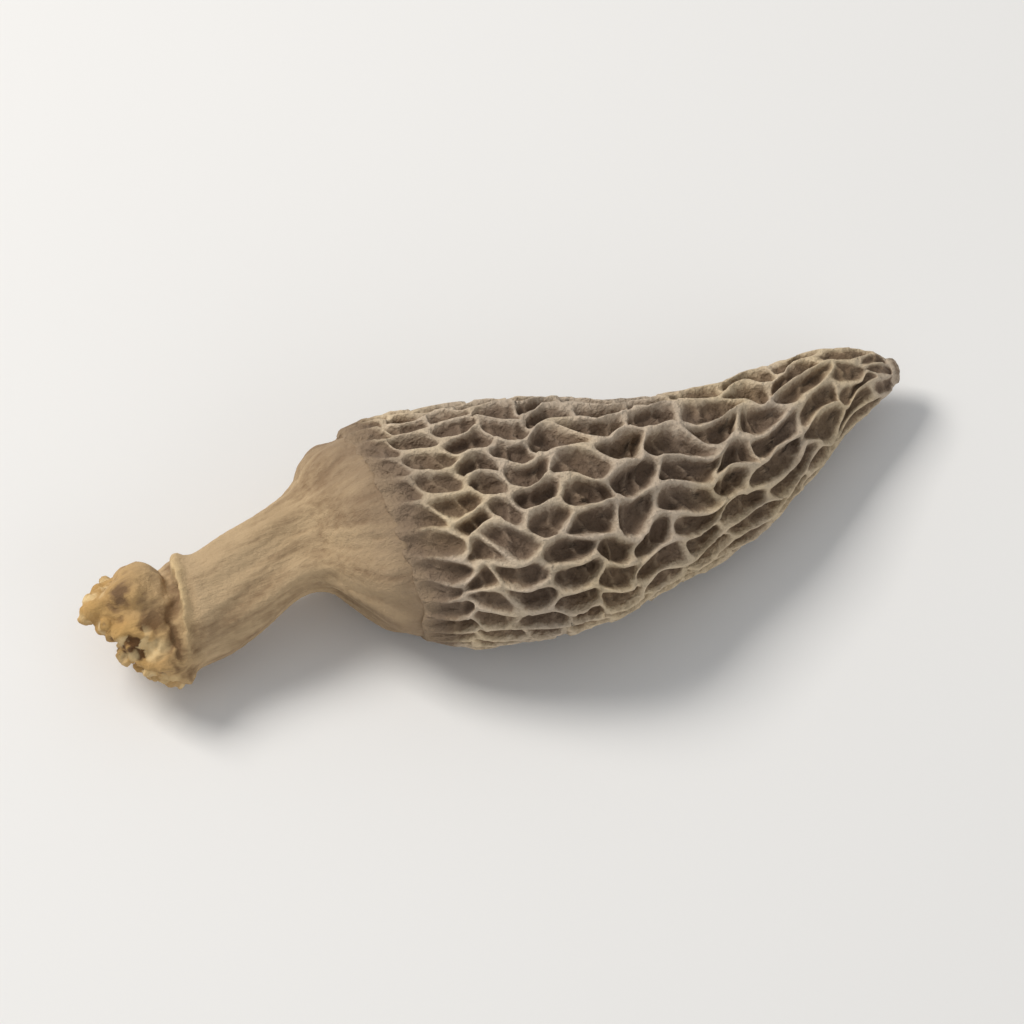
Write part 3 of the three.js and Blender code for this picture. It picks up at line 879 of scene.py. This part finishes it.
def stem_outline(x, turn):
    """The points of the stem's skin, with long folds, a collar, a folded flare and a slanting root."""
    root, neck, flare = stem_fades(x)
    upper = np.maximum(0, np.sin(turn - COLLAR_TURN))
    collar = sum(rise * np.exp(-(((x - middle) / half) ** 2)) for middle, half, rise in COLLAR)
    swell = 1 + neck * waves(STEM_FOLDS, turn, x) + root * waves(ROOT_LOBES, turn, x)
    swell += flare * waves(FLARE_FOLDS, turn, x) + upper * collar
    across = through(STEM_HALF_WIDTH, x) * swell * np.cos(turn)
    up = through(STEM_HALF_HEIGHT, x) * swell * np.sin(turn)
    slant = ROOT_SLANT["across"] * np.minimum(across, ROOT_SLANT["reach"]) + ROOT_SLANT["up"] * up
    return stem_middle(x) + np.stack([-root * slant, across, up], axis=1)


def plug_points(x, turn):
    """A ring of the stem's end inside the hollow, smaller than the hollow by the gap."""
    middle = cap_middle(np.zeros(1))[0]
    edge = (cap_outline(np.zeros_like(turn), turn) - middle) * SOCKET_SHARE
    lengths = np.linalg.norm(edge, axis=1, keepdims=True)
    ring = middle + edge * (lengths - GAP) / lengths
    ring[:, 0] = x
    return ring


def torn_lip(ring, turn, x):
    """A ring near the root's end, strayed along and out as a torn edge is."""
    circle = np.stack([np.cos(turn), np.sin(turn), 0 * turn], axis=1)
    share = float(smooth_step(*LIP_FADE, x))
    middle = ring.mean(axis=0)
    torn = middle + (ring - middle) * (1 + share * grains(LIP_OUT_GRAINS, circle))[:, None]
    torn[:, 0] = ring[:, 0] + LIP_STRAY * share * grains(LIP_GRAINS, circle)
    return torn


def stem_tube():
    """The stem's tube as points and faces. Its root end is sunk inside a torn lip."""
    turn = np.arange(STEM_SIDES) * TURN / STEM_SIDES
    places = np.linspace(ROOT_END, FLARE_END, STEM_STEPS + 1)
    rings = [torn_lip(stem_outline(np.full_like(turn, x), turn), turn, x) for x in places]
    middle = rings[0].mean(axis=0)
    inside = middle + (rings[0] - middle) * LIP_SHARE
    sunk = inside + (LIP_DEPTH, 0, 0)
    rings = [sunk, inside, *rings]
    plug_top = SOCKET_DEPTH - GAP
    rings += [plug_points(GAP, turn), plug_points(plug_top, turn)]
    skin = Skin()
    loops = [[skin.add(tuple(point)) for point in ring] for ring in rings]
    skin.fan(loops[0][::-1], skin.add(tuple(middle + (LIP_DEPTH, 0, 0))))
    for outer, inner in zip(loops, loops[1:]):
        skin.band(outer, inner)
    skin.fan(loops[-1], skin.add((plug_top, *cap_middle(np.zeros(1))[0][1:])))
    return skin.rows, skin.faces


def lump(middle, radius, seed, fineness, roughness=1.0):
    """A lump of the root: a ball with a few dents, as points and faces."""
    ball = bmesh.new()
    bmesh.ops.create_icosphere(ball, subdivisions=fineness, radius=1)
    directions = np.array([vertex.co for vertex in ball.verts])
    faces = [tuple(vertex.index for vertex in face.verts) for face in ball.faces]
    ball.free()
    dents = sum(
        size * np.sin(directions @ (along_x, along_y, along_z) + moved * seed)
        for size, along_x, along_y, along_z, moved in LUMP_DENTS
    )
    rough = roughness * grains(LUMP_GRAINS, directions + (seed, 0, 0))
    return middle + directions * radius * (1 + dents + rough)[:, None], faces


def lumps_on_root(count, x, stray, radius, spread, sunk, draws):
    """Places for lumps round the root's torn edge, each sunk in its skin, as (middle, radius)."""
    lumps = []
    for k in range(count):
        along = np.array([x + stray[0] * scatter(k + DRAWS["lump_along"] + draws)])
        turn = np.array([TURN * (k + stray[1] * scatter(k + DRAWS["lump_round"] + draws)) / count])
        skin, middle = stem_outline(along, turn)[0], stem_middle(along)[0]
        size = radius * (1 + spread * scatter(k + DRAWS["lump_size"] + draws))
        lumps.append((skin + sunk * (middle - skin), size))
    return lumps


def add_modifier(piece, kind, **settings):
    """Adds a modifier and sets its values."""
    modifier = piece.modifiers.new(kind.lower(), kind)
    for key, value in settings.items():
        setattr(modifier, key, value)


def fused(parts, voxel):
    """One even mesh over closed meshes that overlap, as points and faces."""
    mesh = bpy.data.meshes.new("loose parts")
    points, faces = [], []
    for part_points, part_faces in parts:
        first = len(points)
        points += [tuple(point) for point in part_points]
        faces += [tuple(first + i for i in face) for face in part_faces]
    mesh.from_pydata(points, [], faces)
    holder = bpy.data.objects.new("loose parts", mesh)
    bpy.context.scene.collection.objects.link(holder)
    add_modifier(holder, "REMESH", mode="VOXEL", voxel_size=voxel)
    add_modifier(holder, "SMOOTH", **SOFTENED)
    even = holder.evaluated_get(bpy.context.evaluated_depsgraph_get()).to_mesh()
    coordinates = np.empty(len(even.vertices) * 3)
    even.vertices.foreach_get("co", coordinates)
    normals = np.empty(len(even.vertices) * 3, np.float32)
    even.vertex_normals.foreach_get("vector", normals)
    even_faces = [tuple(polygon.vertices) for polygon in even.polygons]
    bpy.data.objects.remove(holder)
    bpy.data.meshes.remove(mesh)
    return coordinates.reshape(-1, 3), normals.reshape(-1, 3), even_faces


def nearness(points, lumps):
    """How near each point is to the skin of a lump: 1 on one, and 0 from its edge's width away."""
    tree = KDTree(len(lumps))
    for i, (middle, _) in enumerate(lumps):
        tree.insert(middle, i)
    tree.balance()
    near = np.zeros(len(points))
    for i, point in enumerate(points):
        _, k, distance = tree.find(point)
        radius = lumps[k][1]
        near[i] = 1 - min(max((distance / radius - 1) / LUMP_EDGE, 0), 1)
    return near


def stem_wrinkles(points):
    """How far the stem's fine form moves each point out, in shares of the wrinkles' depth."""
    x = points[:, 0]
    root, _, flare = stem_fades(x)
    away = (points - stem_middle(x))[:, 1:]
    around = away / np.maximum(np.linalg.norm(away, axis=1, keepdims=True), LEAST_RADIUS)
    mean = (through(STEM_HALF_WIDTH, x) + through(STEM_HALF_HEIGHT, x))[:, None] / 2
    narrow = np.concatenate(
        [x[:, None] / WRINKLE_STRETCH, around * np.minimum(mean, WRINKLE_RADIUS)], axis=1
    )
    fan = np.concatenate([x[:, None] / FAN_STRETCH, around * FAN_RADIUS], axis=1)
    folds = (1 - root) * (grains(LONG_GRAINS, narrow) + creases(narrow, *FINE_CREASES))
    folds += flare * creases(fan, *FAN_CREASES)
    crumpled = sum(creases(points, *row) for row in ROOT_CREASES)
    return folds - root * crumpled + grains(PITTED_GRAINS, points)


def curled(points):
    """How far each point is moved out by the fold beside the knob, and by the hollow beside that."""
    away = (points - stem_middle(points[:, 0]))[:, 1:]
    turn = np.arctan2(away[:, 1], away[:, 0])
    shown = smooth_step(*CURL_FADES[0], turn) * smooth_step(*CURL_FADES[1], turn)
    ragged = np.maximum(1 + grains(CURL_GRAINS, points), 0)
    line = CURL_LINE["x"] + CURL_LINE["lean"] * turn + grains(CURL_STRAYS, points)
    past = points[:, 0] - line
    return [rise * shown * ragged * np.exp(-(((past - at) / half) ** 2)) for at, half, rise in CURL]


def build_stem(settings):
    knob = (np.array(KNOB["middle"]), KNOB["radius"])
    crumbs = lumps_on_root(**CRUMBS)
    grit = lumps_on_root(**GRIT)
    parts = [stem_tube(), lump(*knob, KNOB["seed"], KNOB_FINENESS, KNOB["roughness"])]
    parts += [lump(*crumb, k, CRUMB_FINENESS) for k, crumb in enumerate(crumbs)]
    parts += [lump(*speck, k, GRIT_FINENESS) for k, speck in enumerate(grit)]
    points, normals, faces = fused(parts, STEM_VOXEL)
    on_knob = nearness(points, [knob])
    wrinkles = stem_wrinkles(points) * (1 - KNOB_SMOOTHNESS * on_knob)
    fold, hollow = curled(points)
    hollow = hollow * (1 - on_knob)
    moved = wrinkles * settings.wrinkle_depth / MM + fold + hollow
    points = points + normals * moved[:, None]
    root, _, _ = stem_fades(points[:, 0])
    values = {
        "from_rim": points[:, 0],
        # How raised the skin is, which sets the painted shade in its creases and hollows.
        "raised": np.clip(0.5 + WRINKLE_SHADE * wrinkles + fold + HOLLOW_SHADE * hollow, 0, 1),
        "root": root,
        "torn": np.maximum(nearness(points, crumbs + grit), CURL_PALE * fold),
        "knob": on_knob,
    }
    return add_object("stem_skin", settle(points), faces, values)


# The materials

def add_node(tree, kind, links, **settings):
    """Adds a node. Links maps each input to a value or to the output that feeds it."""
    node = tree.nodes.new(kind)
    for key, value in settings.items():
        setattr(node, key, value)
    for socket, value in links.items():
        if isinstance(value, bpy.types.NodeSocket):
            tree.links.new(value, node.inputs[socket])
        else:
            node.inputs[socket].default_value = value
    return node


def attribute(tree, name):
    return add_node(tree, "ShaderNodeAttribute", {}, attribute_name=name).outputs["Fac"]


def texture_noise(tree, size, detail=4, stretch=(1, 1, 1), roughness=0.55):
    """Noise from 0 to 1 with bumps of that size in millimetres, longer where stretch is smaller."""
    place = add_node(tree, "ShaderNodeTexCoord", {}).outputs["Object"]
    scaled = add_node(tree, "ShaderNodeMapping", {"Vector": place, "Scale": stretch}).outputs["Vector"]
    links = {"Vector": scaled, "Scale": 1 / (size * MM), "Detail": detail, "Roughness": roughness}
    return add_node(tree, "ShaderNodeTexNoise", links).outputs["Fac"]


def math_node(tree, operation, *values):
    return add_node(tree, "ShaderNodeMath", dict(enumerate(values)), operation=operation).outputs[0]


def spread_over(tree, value, start, end, low=0.0, high=1.0):
    """A value changed so that start to end becomes low to high, and no further."""
    links = {"Value": value, "From Min": start, "From Max": end, "To Min": low, "To Max": high}
    return add_node(tree, "ShaderNodeMapRange", links).outputs["Result"]


def mixed(tree, factor, first, second, blend="MIX"):
    """One colour mixed into another."""
    node = add_node(tree, "ShaderNodeMix", {0: factor}, data_type="RGBA", blend_type=blend)
    for socket, value in ((6, first), (7, second)):
        if isinstance(value, bpy.types.NodeSocket):
            tree.links.new(value, node.inputs[socket])
        else:
            node.inputs[socket].default_value = (*value[:3], 1)
    return node.outputs[2]


def new_material(name):
    material = bpy.data.materials.new(name)
    material.use_nodes = True
    tree = material.node_tree
    return material, tree, tree.nodes["Principled BSDF"]


def tinted(tree, colour, tint):
    """A colour multiplied by a tint."""
    return mixed(tree, 1.0, colour, tint, "MULTIPLY")


def blurred(tree, value, noise_value, amount):
    """A value moved up and down by noise, by that amount at most."""
    stray = spread_over(tree, noise_value, *NOISE_MIDDLE, -amount, amount)
    return math_node(tree, "ADD", value, stray)


def add_bumps(tree, shader, height, distance):
    """Gives the shader a bumped normal, that distance deep in millimetres."""
    links = {"Height": height, "Strength": 1.0, "Distance": distance * MM}
    bump = add_node(tree, "ShaderNodeBump", links)
    tree.links.new(bump.outputs["Normal"], shader.inputs["Normal"])


def cap_material(settings):
    """Pale worn crests over dark pits, whose dark is partly their own tone and partly painted shade,
    mottled, and tan where the cap grows out of the stem.
    """
    material, tree, shader = new_material("dried cap")
    mottle = texture_noise(tree, **CAP_MOTTLE)
    speck = texture_noise(tree, **CAP_SPECK)
    height = blurred(tree, attribute(tree, "height"), speck, HEIGHT_STRAY)
    # Pit floors, partly painted shade, up the walls to the pale worn crests.
    wall_share = spread_over(tree, height, *PIT_TO_WALL)
    walls = mixed(tree, wall_share, settings.pit_tone_and_shade, settings.wall_colour)
    crests = mixed(tree, spread_over(tree, height, *WALL_TO_CREST), walls, settings.crest_colour)
    mottled = tinted(tree, crests, mixed(tree, mottle, MOTTLE_DARK, MOTTLE_LIGHT))
    patches = spread_over(tree, texture_noise(tree, **CAP_PATCHES), *AGED_PATCHES)
    aged = mixed(tree, patches, mottled, tinted(tree, mottled, AGED_TINT))
    rim = blurred(tree, attribute(tree, "from_rim"), mottle, RIM_STRAY)
    rim_colour = mixed(tree, spread_over(tree, rim, *BROWN_TO_TAN), RIM_BROWN, RIM_TAN)
    rim_share = spread_over(tree, rim, *RIM_SHARE)
    tree.links.new(mixed(tree, rim_share, aged, rim_colour), shader.inputs["Base Color"])
    shader.inputs["Roughness"].default_value = CAP_DULLNESS
    bumps = math_node(tree, "ADD", speck, texture_noise(tree, **CAP_BUMPS))
    add_bumps(tree, shader, bumps, CAP_BUMP)
    return material


def stem_material(settings):
    """Tan skin with long fibres and brown painted shade in its creases, golden and crumbly at the root."""
    material, tree, shader = new_material("dried stem")
    fibres = texture_noise(tree, **STEM_FIBRES)
    mottle = texture_noise(tree, **STEM_MOTTLE)
    speck = texture_noise(tree, **STEM_SPECK)
    at_root = attribute(tree, "root")
    raised = blurred(tree, attribute(tree, "raised"), fibres, RAISED_STRAY)
    # Painted shade in the creases and hollows, darker at the root, mixed in where the skin is low.
    painted_shade = mixed(tree, at_root, settings.crease_shade_colour, ROOT_CREVICE_SHADE)
    skin = mixed(tree, spread_over(tree, raised, *SHADE_TO_SKIN), painted_shade, settings.skin_colour)
    mottled = tinted(tree, skin, mixed(tree, mottle, STAIN_DARK, STAIN_LIGHT))
    root = mixed(tree, at_root, mottled, tinted(tree, mottled, ROOT_GOLD))
    crumbly = spread_over(tree, mottle, *CRUMBLY)
    torn = math_node(tree, "MULTIPLY", attribute(tree, "torn"), crumbly)
    crumbs = mixed(tree, torn, root, settings.torn_colour)
    rubbed = math_node(tree, "MULTIPLY", attribute(tree, "knob"), RUBBED_KNOB)
    worn = mixed(tree, rubbed, crumbs, settings.skin_colour)
    # Darker brown towards the cap, partly the flare's own tone and partly painted shade.
    streaked = blurred(tree, attribute(tree, "from_rim"), fibres, FLARE_STRAY)
    coloured = mixed(tree, spread_over(tree, streaked, *FLARE_SHARE), worn, FLARE_BROWN_AND_SHADE)
    tree.links.new(coloured, shader.inputs["Base Color"])
    shader.inputs["Roughness"].default_value = STEM_DULLNESS
    fine = math_node(tree, "MULTIPLY", speck, SPECK_SHARE)
    add_bumps(tree, shader, math_node(tree, "ADD", fibres, fine), STEM_BUMP)
    return material


def floor_material(settings):
    """A pale matt surface with the faintest mottle."""
    material, tree, shader = new_material("pale floor")
    mottle = texture_noise(tree, **FLOOR_MOTTLE)
    light = tuple(min(1, FLOOR_LIGHTER * value) for value in settings.floor_colour)
    tree.links.new(mixed(tree, mottle, settings.floor_colour, light), shader.inputs["Base Color"])
    shader.inputs["Roughness"].default_value = FLOOR_DULLNESS
    return material


# The stage

def view_axes(azimuth, elevation):
    """The picture's right, its up and the way back to the camera."""
    back = Vector((
        math.sin(azimuth) * math.cos(elevation),
        -math.cos(azimuth) * math.cos(elevation),
        math.sin(elevation),
    ))
    right = Vector((math.cos(azimuth), math.sin(azimuth), 0))
    return right, back.cross(right), back


def add_camera(settings, middle):
    _, _, back = view_axes(settings.azimuth, settings.elevation)
    data = bpy.data.cameras.new("camera")
    data.lens = data.sensor_width * settings.distance / settings.view_width
    data.clip_start = NEAREST_SEEN
    camera = bpy.data.objects.new("camera", data)
    camera.location = middle + back * settings.distance
    camera.rotation_euler = back.to_track_quat("Z", "Y").to_euler()
    bpy.context.scene.collection.objects.link(camera)
    bpy.context.scene.camera = camera


def add_light(settings, middle, name, towards, distance, size, power, colour):
    """A soft square light, placed by how far right, up and back it is in the picture."""
    axes = view_axes(settings.azimuth, settings.elevation)
    direction = sum((axis * share for axis, share in zip(axes, towards)), Vector()).normalized()
    data = bpy.data.lights.new(name, "AREA")
    data.size = size
    data.energy = power
    data.color = colour
    light = bpy.data.objects.new(name, data)
    light.location = middle + direction * distance
    light.rotation_euler = direction.to_track_quat("Z", "Y").to_euler()
    bpy.context.scene.collection.objects.link(light)


def add_floor(settings):
    floor = bmesh.new()
    bmesh.ops.create_grid(floor, x_segments=1, y_segments=1, size=FLOOR_HALF_WIDTH)
    mesh = bpy.data.meshes.new("floor")
    floor.to_mesh(mesh)
    floor.free()
    mesh.materials.append(floor_material(settings))
    piece = bpy.data.objects.new("floor", mesh)
    bpy.context.scene.collection.objects.link(piece)
    piece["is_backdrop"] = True


def add_world():
    world = bpy.data.worlds.new("studio")
    world.use_nodes = True
    sky = world.node_tree.nodes["Background"]
    sky.inputs["Color"].default_value = SKY_COLOUR
    sky.inputs["Strength"].default_value = SKY_STRENGTH
    bpy.context.scene.world = world


class MOREL_OT_add_cap(bpy.types.Operator):
    """Adds the cap with its raised net of ridges"""

    bl_idname = "morel.add_cap"
    bl_label = "Add Cap"

    def execute(self, context):
        settings = context.scene.morel_cap
        cap = build_cap(settings)
        cap.data.materials.append(cap_material(settings))
        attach(cap, "root")
        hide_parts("cap")
        return {"FINISHED"}


class MOREL_OT_add_stem(bpy.types.Operator):
    """Adds the wrinkled stem with its knobbly root"""

    bl_idname = "morel.add_stem"
    bl_label = "Add Stem"

    def execute(self, context):
        settings = context.scene.morel_stem
        stem = build_stem(settings)
        stem.data.materials.append(stem_material(settings))
        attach(stem, "root")
        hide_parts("stem")
        return {"FINISHED"}


class MOREL_OT_add_stage(bpy.types.Operator):
    """Adds the pale floor, the soft lights and the camera"""

    bl_idname = "morel.add_stage"
    bl_label = "Add Stage"

    def execute(self, context):
        settings = context.scene.morel_stage
        low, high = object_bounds()
        middle = (low + high) / 2
        add_floor(settings)
        add_world()
        add_light(settings, middle, **KEY_LIGHT)
        add_light(settings, middle, **FILL_LIGHT)
        add_camera(settings, middle)
        context.scene.view_settings.view_transform = "Standard"
        return {"FINISHED"}


class MOREL_PT_panel(bpy.types.Panel):
    """Lists the morel's pieces and settings"""

    bl_idname = "MOREL_PT_panel"
    bl_label = "Dried Morel"
    bl_space_type = "VIEW_3D"
    bl_region_type = "UI"
    bl_category = "Morel"

    def draw(self, context):
        groups = (
            (MOREL_OT_add_cap, context.scene.morel_cap),
            (MOREL_OT_add_stem, context.scene.morel_stem),
            (MOREL_OT_add_stage, context.scene.morel_stage),
        )
        for operator, settings in groups:
            box = self.layout.box()
            box.operator(operator.bl_idname)
            for name in settings.__annotations__:
                box.prop(settings, name)


SETTINGS = {
    "morel_cap": MorelCapSettings,
    "morel_stem": MorelStemSettings,
    "morel_stage": MorelStageSettings,
}
CLASSES = (*SETTINGS.values(), MOREL_OT_add_cap, MOREL_OT_add_stem, MOREL_OT_add_stage, MOREL_PT_panel)


def register():
    for cls in CLASSES:
        bpy.utils.register_class(cls)
    for name, cls in SETTINGS.items():
        setattr(bpy.types.Scene, name, PointerProperty(type=cls))


def unregister():
    for name in SETTINGS:
        delattr(bpy.types.Scene, name)
    for cls in reversed(CLASSES):
        bpy.utils.unregister_class(cls)


def main():
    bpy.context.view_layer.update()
    register()
    bpy.ops.morel.add_cap()
    bpy.ops.morel.add_stem()
    bpy.ops.morel.add_stage()


if __name__ == "__main__":
    main()
